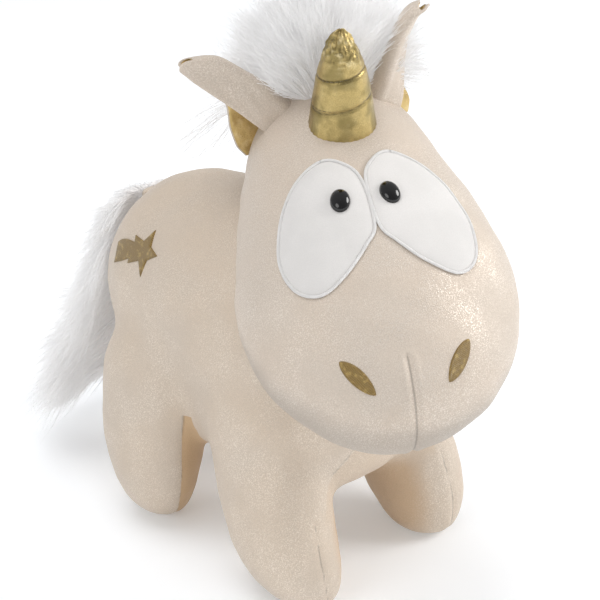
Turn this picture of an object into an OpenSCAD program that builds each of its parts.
// Plush unicorn: sewn fabric panels over fibre stuffing, a padded horn, folded ears, long pile mane and tail.
// Z is up, the animal faces -Y, and its right side is -X. It stands on the flats under its four feet.

/* [Torso] */
// Half of the torso's width
torso_half_w = 61; // [50:1:72]
// Half of the torso's length
torso_half_l = 93; // [80:1:100]
// Half of the torso's height
torso_half_h = 64; // [56:1:70]
// Depth of the belly below the torso's middle
belly_h = 82; // [70:1:88]
// Height of the torso's middle above the floor
torso_mid_z = 133; // [126:1:140]

/* [Legs] */
// Half of the front thigh's length, front to back
front_thigh_r = 36; // [30:0.5:37]
// Half of the hind thigh's length, front to back
hind_thigh_r = 34; // [28:0.5:37]
// Sideways distance of each foot from the middle
foot_x = 45.5; // [40:0.5:50]
// Radius of the flat under each foot
foot_flat_r = 8; // [5:0.5:12]

/* [Head] */
// Length of the head from the back of the skull to the muzzle
head_length = 220; // [200:1:230]
// How far the muzzle points below the horizontal, in degrees
head_slope = 32; // [24:1:38]
// How far the head is turned to its right, in degrees
head_turned = 33; // [0:1:40]
// How far the head is tipped towards its right, in degrees
head_tipped = 4.5; // [0:0.5:8]

/* [Horn and ears] */
// Radius of the horn at its base
horn_r = 17.5; // [14:0.5:20]
// Height of the horn
horn_height = 52; // [45:1:70]
// Length of an ear
ear_length = 56; // [40:1:66]

/* [Fabric] */
// Thickness of the body fabric
fabric = 1.5; // [1:0.1:2.5]
// Space left between one layer and the next
layer_gap = 0.5; // [0.3:0.1:0.7]

/* [Hidden] */

champagne = "#cfc1b1";
tan = "#c0a27d";
velour = "#dad5d2";
gold = "#b8a272";
gold_thread = "#96773d";
pile = "#e2dfde";
fibre = "#f2f0ea";

// The middle of the whole outline, seen from the middle of the four feet
outline_mid = [-0.42, 20.26, 0];

// A cover lies on the surface; what is inside it starts this far in
inside = fabric + layer_gap;

// ---- Torso: a superellipsoid, blunter along its length than an ellipsoid
torso_mid = [0, 29, torso_mid_z];
torso_blunt = 0.72;

// ---- Hips: each thigh's top is an ellipsoid of revolution about its own hinge axis, along X
hip_z = 88;
hip_clearance = 1;
hip_socket_depth = 6;
swing_room = 17;
swing_room_top = -5;
front_hip = [43, -19, hip_z];
hind_hip = [47, 65, hip_z];
front_foot_y = -54;
hind_foot_y = 62.5;
front_thigh_half_w = 24.5;
hind_thigh_half_w = 25;

// ---- Neck: the head turns about an axis that leans forward, and nods about the head's own cross axis
neck_pivot = [2, -30, 160];
neck_lean = 32;
neck_r = 37;
neck_gap = 0.8;
neck_room_r = 72;
nod_room_angle = 13;
neck_cut_depth = 80;
skull_room = 110;

// ---- Head
head_mid = [2, -46, 185];
skull_fullness = 0.9;
head_w = 67;
head_w_taper = -24.5;
head_w_jaw = 21.5;
head_h = 48;
head_h_taper = 3;

// ---- Places on the head: t runs from the back of the skull (0) to the muzzle (180),
//      u goes round it, with the ridge of the face at 90; sideways angles count from the ridge
face_from_t = 50;
throat_half_angle = 52;
eye_t = 86.5;
eye_u = 10.8;
horn_t = 59;
ear_t = 46;
ear_u = 56;
mane_from_t = 41;
mane_to_t = 7;
mane_half_angle = 20;
mane_lift = 2.6;
eye_patch_outline = [
    [17, 74], [7, 76.5], [1, 82.5], [0.8, 96.5], [6, 102], [17, 109],
    [29, 112.5], [39, 108.5], [43.5, 98.5], [40, 87], [30, 78]
];
eye_patch_heart = [22, 92];
nostril_heart = [28.5, 139.5];
nostril_reach = [4.4, -7.2];
nostril_swell = [4.2, 1.9];

// ---- Eyes
patch_high = 1.7;
shank_r = 2;
shank_hole_r = 2.5;
shank_depth = 9;
washer_r = 6.5;
washer_thick = 1.2;
washer_depth = 5;
bead_long = 6;
bead_wide = 4.5;
bead_rise = 3.4;
bead_twist = 7;

// ---- Horn
horn_lean_back = 20;
horn_base_tilt = 10;
horn_lift = 4;
horn_shares = [0, 0.15, 0.3, 0.48, 0.66, 0.8, 0.88, 0.94, 0.985];
horn_seams = [0.27, 0.56];

// ---- Ears
ear_rise_right = 47;
ear_rise_left = 66;
ear_base_gap = 5.5;
ear_twist_x = 7;
ear_lining_thickness = 0.8;
ear_lining_margin = 1.5;
ear_shifts_right = [-11, -11, -11.5, -11.5, -10, -7.5, -4, 0];
ear_shifts_left = [-14, -14, -16, -18, -19, -17.5, -15.5, -12];
ear_turns_left = [20, 25, 45, 60, 68, 68, 68, 68];

// ---- Panels
seam_half = 0.35;
belly_half_angle = 38;

// ---- Star on the right flank
star_v = 73.5;
star_u = 148.3;
star_high = 1.1;
flank_v_per_mm = 0.66;
flank_u_per_mm = 0.95;
// Direction and reach of each corner from the star's middle: its five points, and the tail between two of them
star_corners = [
    [6, 11.5], [42, 6], [80, 13.5], [118, 6], [152, 14],
    [166, 11], [173, 20], [178, 27], [183, 32], [193, 30.5], [200, 30.5], [207, 32.5], [210, 22], [212, 14],
    [221, 15.5], [254, 6], [284, 13.5], [325, 6]
];

// ---- Tail
tail_root = [0, 121, 172];
tail_front_y = 124.5;

// Signed power, for superellipses
function spow(x, e) = sign(x) * pow(abs(x), e);
function middle(points) = [for (k = [0:len(points[0]) - 1]) sum([for (p = points) p[k]]) / len(points)];
function sum(v, i = 0) = i < len(v) ? v[i] + sum(v, i + 1) : 0;
function reverse(v) = [for (i = [len(v) - 1:-1:0]) v[i]];
function unit(v) = v / norm(v);
function mix(a, b, k) = a + (b - a) * k;
function range(a, b, n) = [for (i = [0:n]) a + (b - a) * i / n];

// Closed curve through the given points, n steps to each (Catmull-Rom)
function loop_through(p, n) = let (c = len(p)) [
    for (i = [0:c - 1], s = [0:n - 1])
        let (k = s / n, p0 = p[(i + c - 1) % c], p1 = p[i], p2 = p[(i + 1) % c], p3 = p[(i + 2) % c])
        0.5 * (2 * p1 + (p2 - p0) * k + (2 * p0 - 5 * p1 + 4 * p2 - p3) * k * k
            + (3 * p1 - p0 - 3 * p2 + p3) * k * k * k)
];

// Triangles between two rows of n points that start at a and b; closed joins each row's ends
function strip(a, b, n, closed = false) = [
    for (j = [0:n - (closed ? 1 : 2)])
        let (k = (j + 1) % n)
        each [[a + j, b + k, a + k], [a + j, b + j, b + k]]
];

// Closed solid through rings of equal length, with a fan over each end
module loft(rings) {
    m = len(rings);
    n = len(rings[0]);
    points = concat([for (r = rings) each r], [middle(rings[0]), middle(rings[m - 1])]);
    faces = concat(
        [for (i = [0:m - 2]) each strip(i * n, (i + 1) * n, n, true)],
        [for (j = [0:n - 1]) [m * n, j, (j + 1) % n]],
        [for (j = [0:n - 1]) [m * n + 1, (m - 1) * n + (j + 1) % n, (m - 1) * n + j]]
    );
    polyhedron(points, faces);
}

// Closed sheet between two open grids of the same size
module sheet(outer, inner) {
    m = len(outer);
    n = len(outer[0]);
    back = m * n;
    last = (m - 1) * n;
    points = concat([for (r = outer) each r], [for (r = inner) each r]);
    faces = concat(
        [for (i = [0:m - 2]) each strip(i * n, (i + 1) * n, n)],
        [for (i = [0:m - 2]) each strip(back + (i + 1) * n, back + i * n, n)],
        strip(back, 0, n),
        strip(last, back + last, n),
        [for (i = [0:m - 2]) let (a = i * n, b = a + n)
            each [[a, back + b, b], [a, back + a, back + b]]],
        [for (i = [0:m - 2]) let (a = i * n + n - 1, b = a + n)
            each [[b, back + a, a], [b, back + b, back + a]]]
    );
    polyhedron(points, faces);
}

// Solid turned about Z, as flat faces; the outline starts and ends on the axis
module turned(outline, n) {
    inner = [for (i = [1:len(outline) - 2]) outline[i]];
    m = len(inner);
    points = concat(
        [for (p = inner, j = [0:n - 1]) [p[0] * cos(360 * j / n), p[0] * sin(360 * j / n), p[1]]],
        [[0, 0, outline[0][1]], [0, 0, outline[len(outline) - 1][1]]]
    );
    faces = concat(
        [for (i = [0:m - 2]) each strip(i * n, (i + 1) * n, n, true)],
        [for (j = [0:n - 1]) [m * n, j, (j + 1) % n]],
        [for (j = [0:n - 1]) [m * n + 1, (m - 1) * n + (j + 1) % n, (m - 1) * n + j]]
    );
    polyhedron(points, faces);
}

module placed() { translate(-outline_mid) children(); }

// Tips the children's +Z over to d by the shortest way
module pointing(d) {
    around = atan2(d[1], d[0]);
    rotate([0, 0, around]) rotate([0, acos(d[2] / norm(d)), 0]) rotate([0, 0, -around]) children();
}

// ---- Torso surface: v runs from the rump (0) to the chest (180), u goes round with the spine at 90
function torso_point(v, u, inset) =
    let (rr = spow(sin(v), torso_blunt), half_h = sin(u) < 0 ? belly_h : torso_half_h)
    torso_mid + [
        (torso_half_w - inset) * rr * cos(u),
        (torso_half_l - inset) * spow(cos(v), torso_blunt),
        (half_h - inset) * rr * sin(u)
    ];
function torso_ring(v, inset, n = 26) = [for (j = [0:n - 1]) torso_point(v, 360 * j / n, inset)];
function torso_grid(vs, us, inset) = [for (v = vs) [for (u = us) torso_point(v, u, inset)]];

// What the neck and the head need out of the torso
module neck_room_in_torso() {
    r = neck_r + neck_gap;
    translate(neck_pivot) rotate([neck_lean, 0, 0]) turned(concat(
        [for (a = range(-90, -1, 7)) [r * cos(a), r * sin(a)]],
        [[120, -0.5], [120, 110], [0, 110]]
    ), 32);
}

// What one thigh needs out of the torso
module thigh_room(hip, half_w, r, side) {
    translate([side * hip[0], hip[1], hip[2]]) {
        hip_disc(half_w + hip_socket_depth, r + hip_clearance);
        // Below the hinge the leg is wider than the disc, and it swings
        intersection() {
            hip_disc(half_w + hip_socket_depth, r + swing_room);
            translate([-half_w * 2, -r * 2, -r * 2]) cube([half_w * 4, r * 4, r * 2 - swing_room_top]);
        }
    }
}
module hip_disc(a, b) {
    rotate([0, 90, 0]) turned([for (k = range(-90, 90, 9)) [b * cos(k), a * sin(k)]], 26);
}

module clear_of_neighbours() {
    difference() {
        children();
        neck_room_in_torso();
        for (side = [-1, 1]) {
            thigh_room(front_hip, front_thigh_half_w, front_thigh_r, side);
            thigh_room(hind_hip, hind_thigh_half_w, hind_thigh_r, side);
        }
    }
}

module torso_stuffing() {
    color(fibre) placed() clear_of_neighbours()
        loft([for (v = concat([3], range(13, 167, 11), [177])) torso_ring(v, inside)]);
}

module side_panel(side) {
    low = -90 + belly_half_angle + seam_half;
    us = range(low, 90 - seam_half, 12);
    vs = concat([4], range(14, 166, 12), [176]);
    color(champagne) placed() clear_of_neighbours()
        mirror([side < 0 ? 1 : 0, 0, 0]) sheet(torso_grid(vs, us, 0), torso_grid(vs, us, fabric));
}

module side_panel_right() { side_panel(-1); }
module side_panel_left() { side_panel(1); }
module belly_panel() {
    us = range(-90 - belly_half_angle + seam_half, -90 + belly_half_angle - seam_half, 6);
    vs = concat([6], range(17, 163, 11), [174]);
    color(tan) placed() clear_of_neighbours()
        sheet(torso_grid(vs, us, 0), torso_grid(vs, us, fabric));
}

// Five-pointed star with a wavy tail streaming behind it, on the torso's right flank; places on it are
// [forwards, upwards] from its middle
function on_flank(p, lift) = torso_point(star_v + p[0] * flank_v_per_mm, star_u - p[1] * flank_u_per_mm, -lift);
module star_emblem() {
    outline = [for (c = reverse(star_corners)) c[1] * [cos(c[0]), sin(c[0])]];
    shares = [0.08, 0.3, 0.55, 0.78, 1];
    color(gold_thread) placed() loft(concat(
        [for (k = shares) [for (p = outline) on_flank(p * k, star_high)]],
        [for (k = reverse(shares)) [for (p = outline) on_flank(p * k, layer_gap)]]
    ));
}

// ---- Legs: elliptical rings that lean and swell from a small flat foot to the thigh
// Style: hip, foot y, half width, half length, fullness power, rounding power, outward bulge
front_style = [front_hip, front_foot_y, front_thigh_half_w, front_thigh_r, 4.4, 0.47, 6];
hind_style = [hind_hip, hind_foot_y, hind_thigh_half_w, hind_thigh_r, 2.8, 0.6, 5];

// Ring at height z; spread draws it in towards its middle
function leg_ring(style, z, inset, angles, spread = 1) =
    let (
        hip = style[0],
        k = min(z / hip[2], 1),
        swell = pow(1 - pow(1 - k, style[4]), style[5]),
        bulge = style[6] * sin(180 * pow(k, 0.7)),
        dome = z > hip[2] ? sqrt(max(0, 1 - pow((z - hip[2]) / (style[3] - inset), 2))) : 1,
        ry = (mix(foot_flat_r, style[3], swell) - inset) * dome * spread,
        rx = (mix(foot_flat_r, style[2], swell) + 0.4 * bulge - inset) * dome * spread,
        x = mix(foot_x, hip[0], k) + bulge,
        y = mix(style[1], hip[1], k)
    )
    [for (a = angles) [x + rx * cos(a), y + ry * sin(a), z]];

// Heights from the sole to the hip as shares of the hip's height, then angles over the thigh's dome
leg_shares = [0.03, 0.07, 0.13, 0.22, 0.34, 0.48, 0.64, 0.8, 0.92, 1];
dome_angles = [25, 48, 68, 82];
function leg_rings(style, inset, angles, up_to = 90) = concat(
    [leg_ring(style, inset, inset, angles, 0.1), leg_ring(style, inset, inset, angles)],
    [for (k = leg_shares) leg_ring(style, max(hip_z * k, inset + 0.4), inset, angles)],
    [for (a = dome_angles) if (a < up_to) leg_ring(style, hip_z + (style[3] - inset) * sin(a), inset, angles)]
);

module one_leg(side, tint) {
    color(tint) placed() mirror([side < 0 ? 1 : 0, 0, 0]) children();
}

module leg_stuffing(style, side) {
    one_leg(side, fibre) loft(leg_rings(style, inside, [for (j = [0:19]) 18 * j]));
}

// The two panels of a leg meet in seams down its front and its back; the inner one stops at the hip
module leg_panel(style, side, outer) {
    facing = outer ? 0 : 180;
    angles = range(facing - 89, facing + 89, 10);
    up_to = outer ? 90 : 0;
    one_leg(side, outer ? champagne : tan)
        sheet(leg_rings(style, 0, angles, up_to), leg_rings(style, fabric, angles, up_to));
}

module leg_front_right_stuffing() { leg_stuffing(front_style, -1); }
module leg_front_left_stuffing() { leg_stuffing(front_style, 1); }
module leg_hind_right_stuffing() { leg_stuffing(hind_style, -1); }
module leg_hind_left_stuffing() { leg_stuffing(hind_style, 1); }
module leg_front_right_outer_panel() { leg_panel(front_style, -1, true); }
module leg_front_left_outer_panel() { leg_panel(front_style, 1, true); }
module leg_hind_right_outer_panel() { leg_panel(hind_style, -1, true); }
module leg_hind_left_outer_panel() { leg_panel(hind_style, 1, true); }
module leg_front_right_inner_panel() { leg_panel(front_style, -1, false); }
module leg_front_left_inner_panel() { leg_panel(front_style, 1, false); }
module leg_hind_right_inner_panel() { leg_panel(hind_style, -1, false); }
module leg_hind_left_inner_panel() { leg_panel(hind_style, 1, false); }

// ---- Neck
module neck_stuffing() {
    color(fibre) placed() translate(neck_pivot)
        turned([for (a = range(-90, 90, 12)) [neck_r * cos(a), neck_r * sin(a)]], 28);
}

// What the neck and the nodding head need out of the head
module neck_room_in_head() {
    r = neck_r + neck_gap;
    translate(neck_pivot) rotate([neck_lean, 0, 0]) {
        turned(concat(
            [[0, -neck_cut_depth], [neck_room_r, -neck_cut_depth]],
            [[neck_room_r, neck_room_r * tan(nod_room_angle)]],
            [for (a = range(nod_room_angle, 90, 6)) [r * cos(a), r * sin(a)]]
        ), 30);
        // The back of the head comes down towards the withers as the muzzle rises
        rotate([0, 0, -head_turned]) rotate([nod_room_angle, 0, 0])
            translate([-skull_room, -r, -neck_cut_depth])
            cube([2 * skull_room, r + skull_room, neck_cut_depth]);
    }
}

// ---- Head: in its own frame the muzzle is at -Y and the face's ridge at +Z
module on_head() {
    placed() translate(head_mid) rotate([head_slope, -head_tipped, -head_turned]) children();
}

function head_point(t, u, inset) =
    let (
        st = pow(sin(t), skull_fullness),
        ct = cos(t),
        half_w = st * (head_w + head_w_taper * ct + head_w_jaw * ct * ct * ct) - inset * sin(t),
        half_h = st * (head_h - head_h_taper * ct) - inset * sin(t)
    )
    [half_w * cos(u), (head_length / 2 - inset) * ct, half_h * sin(u)];
function head_normal(t, u) = unit(cross(
    head_point(t, u + 0.5, 0) - head_point(t, u - 0.5, 0),
    head_point(t + 0.5, u, 0) - head_point(t - 0.5, u, 0)
));
function head_ring(t, inset, n = 30) = [for (j = [0:n - 1]) head_point(t, 360 * j / n, inset)];
function head_grid(ts, us, inset) = [for (t = ts) [for (u = us) head_point(t, u, inset)]];

// Lens-shaped patch on the head between two offsets; outline and heart are [sideways angle, t]
function head_lens_side(outline, heart, offset, shares) = [
    for (k = shares) [for (p = outline) let (q = mix(heart, p, k)) head_point(q[1], 90 + q[0], -offset)]
];
module head_lens(outline, heart, high, shares) {
    loft(concat(
        head_lens_side(outline, heart, high, shares),
        head_lens_side(outline, heart, layer_gap, reverse(shares))
    ));
}

module at_eye(side) {
    u = 90 - side * eye_u;
    translate(head_point(eye_t, u, 0)) pointing(head_normal(eye_t, u)) children();
}
module shank_hole(side) {
    at_eye(side) translate([0, 0, -shank_depth]) cylinder(h = 2 * shank_depth, r = shank_hole_r, $fn = 12);
}

module head_stuffing() {
    color(fibre) difference() {
        on_head() loft([for (t = concat([4], range(15, 165, 11), [176])) head_ring(t, inside)]);
        placed() neck_room_in_head();
        for (side = [-1, 1]) on_head() at_eye(side) translate([0, 0, -shank_depth])
            cylinder(h = 2 * shank_depth, r = washer_r + 0.6, $fn = 12);
    }
}

module head_cover(shape_ts, shape_us) {
    color(champagne) difference() {
        on_head() sheet(head_grid(shape_ts, shape_us, 0), head_grid(shape_ts, shape_us, fabric));
        placed() neck_room_in_head();
        for (side = [-1, 1]) on_head() shank_hole(side);
    }
}
module face_panel() {
    head_cover(range(face_from_t + seam_half, 176, 13),
        range(-90 + throat_half_angle + seam_half, 270 - throat_half_angle - seam_half, 22));
}
module throat_panel() {
    head_cover(range(face_from_t + seam_half, 176, 11),
        range(270 - throat_half_angle + seam_half, 270 + throat_half_angle - seam_half, 8));
}
module skull_panel() {
    ts = concat([3], range(10, face_from_t - seam_half, 5));
    color(champagne) difference() {
        on_head() loft(concat([for (t = ts) head_ring(t, 0)], [for (t = reverse(ts)) head_ring(t, fabric)]));
        placed() neck_room_in_head();
    }
}

module eye_patch(side) {
    color(velour) on_head() mirror([side > 0 ? 1 : 0, 0, 0]) difference() {
        head_lens(loop_through(eye_patch_outline, 3), eye_patch_heart, patch_high, [0.06, 0.4, 0.75, 1]);
        shank_hole(-1);
    }
}
module eye_patch_right() { eye_patch(-1); }
module eye_patch_left() { eye_patch(1); }

// Glossy oval eye with its shank, and the washer that holds it from inside
module eye_bead(side) {
    base = patch_high + 0.2;
    color("#0c0c0d") on_head() at_eye(side) {
        rotate([0, 0, 90 + side * bead_twist]) loft([
            for (a = [0, 18, 38, 60, 80]) [for (j = [0:19])
                [bead_long * cos(a) * cos(18 * j), bead_wide * cos(a) * sin(18 * j), base + bead_rise * sin(a)]]
        ]);
        translate([0, 0, -shank_depth]) cylinder(h = shank_depth + base + 0.1, r = shank_r, $fn = 12);
    }
}
module eye_bead_right() { eye_bead(-1); }
module eye_bead_left() { eye_bead(1); }

module eye_washer(side) {
    color("white") on_head() at_eye(side) translate([0, 0, -washer_depth]) difference() {
        cylinder(h = washer_thick, r = washer_r, $fn = 12);
        translate([0, 0, -1]) cylinder(h = washer_thick + 2, r = shank_hole_r, $fn = 12);
    }
}
module eye_washer_right() { eye_washer(-1); }
module eye_washer_left() { eye_washer(1); }

// Leaf-shaped satin stitch, outer end up
module nostril(side) {
    outline = [for (j = [15:-1:0]) let (a = 22.5 * j)
        nostril_heart + nostril_reach * cos(a) + nostril_swell * pow(abs(sin(a)), 1.4) * sign(sin(a))];
    color(gold_thread) on_head() mirror([side > 0 ? 1 : 0, 0, 0])
        head_lens(outline, nostril_heart, 1.1, [0.1, 0.6, 1]);
}
module nostril_right() { nostril(-1); }
module nostril_left() { nostril(1); }

// ---- Horn: rings about an axis that leans back from the forehead, on a base that follows the forehead
function horn_radius(k) = horn_r * (1 - 0.53 * k) * sqrt(1 - pow(k, 5));
function horn_ring(k, inset, drop = 0) =
    let (r = max(0.5, horn_radius(k) - inset), z = horn_lift + (horn_height - horn_lift) * k - drop)
    [for (j = [0:23]) let (a = 15 * j)
        [r * cos(a), r * sin(a), z + tan(horn_base_tilt) * r * sin(a) * (1 - k)]];
module on_horn() {
    on_head() translate(head_point(horn_t, 90, 0)) rotate([-horn_lean_back, 0, 0]) children();
}
module horn_cover() {
    low_shares = [for (k = horn_shares) if (k < 0.9) k];
    color(gold) on_horn() loft(concat(
        [horn_ring(0.94, fabric, fabric)],
        [for (k = reverse(low_shares)) horn_ring(k, fabric)],
        [for (k = horn_shares) horn_ring(k, 0)]
    ));
}
module horn_stuffing() {
    color(fibre) on_horn() loft([for (k = horn_shares) if (k < 0.9) horn_ring(k, inside, 0)]);
}

// Stitching laid round the horn in two rings
module hoop(centre_ring, r) {
    n = len(centre_ring);
    c = middle(centre_ring);
    rings = [for (i = [0:n - 1]) let (p = centre_ring[i], d = unit([p[0] - c[0], p[1] - c[1], 0]))
        [for (a = [0:90:270]) p + r * (d * cos(a) + [0, 0, sin(a)])]];
    faces = [for (i = [0:n - 1], j = [0:3]) let (a = i * 4, b = ((i + 1) % n) * 4, k = (j + 1) % 4)
        each [[a + j, a + k, b + k], [a + j, b + k, b + j]]];
    polyhedron([for (q = rings) each q], faces);
}
module horn_seam_thread() {
    color(gold_thread) on_horn() for (k = horn_seams) hoop(horn_ring(k, -0.75), 0.5);
}

// ---- Mane: a strip of backing along the crown, and the pile that stands on it
module mane_backing() {
    ts = range(mane_from_t, mane_to_t, 8);
    us = range(90 - mane_half_angle, 90 + mane_half_angle, 6);
    color(velour) on_head() sheet(head_grid(reverse(ts), us, -1.6), head_grid(reverse(ts), us, -layer_gap));
}
// Stations of the pile: t, half width, length, how far it leans back from the ridge's own up
mane_stations = [
    [40, 16, 50, 31], [34, 21, 60, 42], [27, 27, 63, 54], [20, 29, 60, 66], [13, 27, 54, 79], [7, 22, 44, 94]
];
module mane_pile() {
    color(pile) on_head() loft([for (s = reverse(mane_stations))
        let (p = head_point(s[0], 90, 0), d = [0, sin(s[3]), cos(s[3])])
        [for (j = [0:19]) let (a = 18 * j, h = s[2] * (1 + sin(a)) / 2)
            p + d * (mane_lift + h) + [s[1] * cos(a) * (0.85 + 0.3 * h / s[2]), 0, 0]]
    ]);
}

// ---- Ears: a leaf folded lengthwise; Z runs along the ear, X from the fold to the free edges, -Y to the front
// Stations of the fold: share of the length, front flap, back flap, width across the fold
ear_stations = [
    [-0.2, 13, 33, 14], [0, 14, 32, 13], [0.2, 15, 26, 11], [0.38, 15.5, 17, 9.5],
    [0.6, 15, 14.5, 8.5], [0.8, 13.5, 13, 7.5], [0.93, 10, 9.5, 6.8], [1, 6, 5, 6.4]
];
module on_ear(side) {
    on_head() mirror([side < 0 ? 1 : 0, 0, 0]) translate(head_point(ear_t, 90 - ear_u, 0))
        rotate([-head_slope, 0, 0]) rotate([0, 90 - (side < 0 ? ear_rise_right : ear_rise_left), 0]) children();
}
function turned(p, a) = [p[0] * cos(a) - p[1] * sin(a), p[0] * sin(a) + p[1] * cos(a)];
// One station of the folded leaf, drawn in by inset and shortened at its free edges by margin
function ear_section(s, inset, margin) = let (
    h = s[3] / 2 - inset,
    front = s[1] - margin,
    back = s[2] - margin
) [
    [back, h], [back * 0.67, h], [back * 0.33, h], [0, h], [-0.7 * h, 0.7 * h], [-h, 0],
    [-0.7 * h, -0.7 * h], [0, -h], [front * 0.33, -h], [front * 0.67, -h], [front, -h]
];
// Each ear is twisted and bent in its own way: at every station, the turn and the shift of the fold
function ear_grid(side, inset, margin) = [for (i = [0:len(ear_stations) - 1])
    let (s = ear_stations[i], turn = side < 0 ? 0 : ear_turns_left[i],
        shift = (side < 0 ? ear_shifts_right : ear_shifts_left)[i])
    [for (p = ear_section(s, inset, margin)) let (q = turned([p[0] - ear_twist_x, p[1]], turn))
        [q[0] + ear_twist_x + shift, q[1], ear_length * s[0]]]
];
// The base follows the head, with room to flex
module cut_to_head() {
    difference() {
        children();
        on_head() loft([for (t = range(8, 96, 8)) head_ring(t, -ear_base_gap)]);
    }
}
module ear_outer(side) {
    color(champagne) cut_to_head() on_ear(side) sheet(ear_grid(side, 0, 0), ear_grid(side, fabric, 0));
}
module ear_lining(side) {
    color(gold) cut_to_head() on_ear(side) sheet(
        ear_grid(side, inside, ear_lining_margin),
        ear_grid(side, inside + ear_lining_thickness, ear_lining_margin)
    );
}
module ear_right_outer() { ear_outer(-1); }
module ear_left_outer() { ear_outer(1); }
module ear_right_lining() { ear_lining(-1); }
module ear_left_lining() { ear_lining(1); }

// ---- Tail: a tab in the rump seam, a backing strip, and pile on it with a flat front that clears the rump
module tail_tab() {
    color(champagne) placed() translate(tail_root - [7, 3.8, 5]) cube([14, 4.4, 10]);
}
module tail_backing() {
    color(velour) placed() translate([-9, tail_front_y - 2, 70]) cube([18, 1.6, 94]);
}
// Stations of the pile: height, half width, depth
tail_stations = [
    [5, 30, 26], [13, 45, 46], [29, 54, 56], [55, 50, 56], [85, 42, 49], [115, 34, 39], [140, 26, 29],
    [156, 17, 18], [164, 8, 9]
];
module tail_pile() {
    color(pile) placed() loft([for (s = tail_stations) [for (j = [0:23])
        let (a = 15 * j) [s[1] * cos(a), tail_front_y + s[2] * max(0, 0.35 + 0.65 * sin(a)), s[0]]]]);
}

torso_stuffing();
side_panel_right();
side_panel_left();
belly_panel();
star_emblem();
leg_front_right_stuffing();
leg_front_right_outer_panel();
leg_front_right_inner_panel();
leg_front_left_stuffing();
leg_front_left_outer_panel();
leg_front_left_inner_panel();
leg_hind_right_stuffing();
leg_hind_right_outer_panel();
leg_hind_right_inner_panel();
leg_hind_left_stuffing();
leg_hind_left_outer_panel();
leg_hind_left_inner_panel();
neck_stuffing();
head_stuffing();
face_panel();
throat_panel();
skull_panel();
eye_patch_right();
eye_patch_left();
eye_bead_right();
eye_bead_left();
eye_washer_right();
eye_washer_left();
nostril_right();
nostril_left();
mane_backing();
mane_pile();
horn_cover();
horn_stuffing();
horn_seam_thread();
ear_right_outer();
ear_right_lining();
ear_left_outer();
ear_left_lining();
tail_tab();
tail_backing();
tail_pile();
